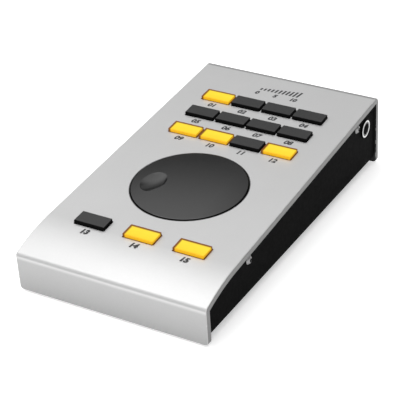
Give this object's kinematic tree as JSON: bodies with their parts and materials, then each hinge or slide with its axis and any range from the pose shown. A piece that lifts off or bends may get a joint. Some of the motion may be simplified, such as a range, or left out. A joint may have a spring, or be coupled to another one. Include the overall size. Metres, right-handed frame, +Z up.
{
  "type": "studio monitor controller",
  "caption": "Wedge-shaped desk controller for studio monitors with a flush control wheel with a finger dimple, illuminated push keys, a side jack and a rear data socket.",
  "frame": {"origin": "centre of the object's footprint, on the surface that the feet stand on", "axes": "+X to the right as the user sits, +Y to the rear, +Z up; the panel slopes down towards -Y"},
  "size_m": [0.1054, 0.2005, 0.0421],
  "materials": {
    "cover_metal": "fine satin, clear anodised",
    "chassis_metal": "black powder coat",
    "block_metal": "as milled",
    "screw_steel": "nickel plated",
    "foot_rubber": "matte moulded",
    "board_laminate": "green solder mask",
    "standoff_metal": "nickel plated",
    "chip_resin": "moulded",
    "connector_plastic": "moulded",
    "jack_plastic": "moulded",
    "nut_nickel": "polished nickel",
    "shell_steel": "tin plated",
    "usb_plastic": "moulded",
    "switch_plastic": "moulded",
    "lamp_resin": "clear tinted resin",
    "encoder_steel": "pressed cover",
    "wheel_metal": "black anodised, fine satin",
    "hub_brass": "turned",
    "shaft_metal": "ground",
    "key_amber": "translucent, lit from below",
    "key_black": "fine satin, translucent when lit",
    "plunger_plastic": "moulded"
  },
  "bodies": {
    "housing": {"top_cover": "cover_metal", "base_chassis": "chassis_metal", "cover_blocks": "block_metal", "side_screws": "screw_steel", "rubber_feet": "foot_rubber", "main_board": "board_laminate", "main_board_standoffs": "standoff_metal", "main_board_screws": "screw_steel", "board_chips": "chip_resin", "connector_board": "board_laminate", "connector_board_standoffs": "standoff_metal", "connector_board_screws": "screw_steel", "link_header": "connector_plastic", "link_socket": "connector_plastic", "jack_socket": "jack_plastic", "jack_nut": "nut_nickel", "usb_shell": "shell_steel", "usb_insert": "usb_plastic", "key_switches": "switch_plastic", "key_leds": "lamp_resin", "encoder_body": "encoder_steel", "encoder_bushing": "standoff_metal", "encoder_washer": "nut_nickel", "encoder_nut": "nut_nickel"},
    "wheel": {"control_wheel": "wheel_metal", "wheel_hub": "hub_brass", "wheel_set_screw": "screw_steel", "encoder_shaft": "shaft_metal"},
    "key_01": {"key_cap_01": "key_amber", "key_plunger_01": "plunger_plastic"},
    "key_02": {"key_cap_02": "key_black", "key_plunger_02": "plunger_plastic"},
    "key_03": {"key_cap_03": "key_black", "key_plunger_03": "plunger_plastic"},
    "key_04": {"key_cap_04": "key_black", "key_plunger_04": "plunger_plastic"},
    "key_05": {"key_cap_05": "key_black", "key_plunger_05": "plunger_plastic"},
    "key_06": {"key_cap_06": "key_black", "key_plunger_06": "plunger_plastic"},
    "key_07": {"key_cap_07": "key_black", "key_plunger_07": "plunger_plastic"},
    "key_08": {"key_cap_08": "key_black", "key_plunger_08": "plunger_plastic"},
    "key_09": {"key_cap_09": "key_amber", "key_plunger_09": "plunger_plastic"},
    "key_10": {"key_cap_10": "key_amber", "key_plunger_10": "plunger_plastic"},
    "key_11": {"key_cap_11": "key_black", "key_plunger_11": "plunger_plastic"},
    "key_12": {"key_cap_12": "key_amber", "key_plunger_12": "plunger_plastic"},
    "key_13": {"key_cap_13": "key_black", "key_plunger_13": "plunger_plastic"},
    "key_14": {"key_cap_14": "key_amber", "key_plunger_14": "plunger_plastic"},
    "key_15": {"key_cap_15": "key_amber", "key_plunger_15": "plunger_plastic"}
  },
  "joints": [
    {"name": "wheel_turn", "type": "hinge", "parent": "housing", "child": "wheel", "pos_m": [0, -0.02177, 0.03278], "axis": [0, -0.0811, 0.9967], "continuous": true},
    {"name": "key_press_01", "type": "slide", "parent": "housing", "child": "key_01", "axis": [0, 0.0811, -0.9967], "range_m": [0, 0.0006], "stiffness_N_per_m": 300, "springref_m": -0.002},
    {"name": "key_press_02", "type": "slide", "parent": "housing", "child": "key_02", "axis": [0, 0.0811, -0.9967], "range_m": [0, 0.0006], "stiffness_N_per_m": 300, "springref_m": -0.002},
    {"name": "key_press_03", "type": "slide", "parent": "housing", "child": "key_03", "axis": [0, 0.0811, -0.9967], "range_m": [0, 0.0006], "stiffness_N_per_m": 300, "springref_m": -0.002},
    {"name": "key_press_04", "type": "slide", "parent": "housing", "child": "key_04", "axis": [0, 0.0811, -0.9967], "range_m": [0, 0.0006], "stiffness_N_per_m": 300, "springref_m": -0.002},
    {"name": "key_press_05", "type": "slide", "parent": "housing", "child": "key_05", "axis": [0, 0.0811, -0.9967], "range_m": [0, 0.0006], "stiffness_N_per_m": 300, "springref_m": -0.002},
    {"name": "key_press_06", "type": "slide", "parent": "housing", "child": "key_06", "axis": [0, 0.0811, -0.9967], "range_m": [0, 0.0006], "stiffness_N_per_m": 300, "springref_m": -0.002},
    {"name": "key_press_07", "type": "slide", "parent": "housing", "child": "key_07", "axis": [0, 0.0811, -0.9967], "range_m": [0, 0.0006], "stiffness_N_per_m": 300, "springref_m": -0.002},
    {"name": "key_press_08", "type": "slide", "parent": "housing", "child": "key_08", "axis": [0, 0.0811, -0.9967], "range_m": [0, 0.0006], "stiffness_N_per_m": 300, "springref_m": -0.002},
    {"name": "key_press_09", "type": "slide", "parent": "housing", "child": "key_09", "axis": [0, 0.0811, -0.9967], "range_m": [0, 0.0006], "stiffness_N_per_m": 300, "springref_m": -0.002},
    {"name": "key_press_10", "type": "slide", "parent": "housing", "child": "key_10", "axis": [0, 0.0811, -0.9967], "range_m": [0, 0.0006], "stiffness_N_per_m": 300, "springref_m": -0.002},
    {"name": "key_press_11", "type": "slide", "parent": "housing", "child": "key_11", "axis": [0, 0.0811, -0.9967], "range_m": [0, 0.0006], "stiffness_N_per_m": 300, "springref_m": -0.002},
    {"name": "key_press_12", "type": "slide", "parent": "housing", "child": "key_12", "axis": [0, 0.0811, -0.9967], "range_m": [0, 0.0006], "stiffness_N_per_m": 300, "springref_m": -0.002},
    {"name": "key_press_13", "type": "slide", "parent": "housing", "child": "key_13", "axis": [0, 0.0811, -0.9967], "range_m": [0, 0.0006], "stiffness_N_per_m": 300, "springref_m": -0.002},
    {"name": "key_press_14", "type": "slide", "parent": "housing", "child": "key_14", "axis": [0, 0.0811, -0.9967], "range_m": [0, 0.0006], "stiffness_N_per_m": 300, "springref_m": -0.002},
    {"name": "key_press_15", "type": "slide", "parent": "housing", "child": "key_15", "axis": [0, 0.0811, -0.9967], "range_m": [0, 0.0006], "stiffness_N_per_m": 300, "springref_m": -0.002}
  ]
}
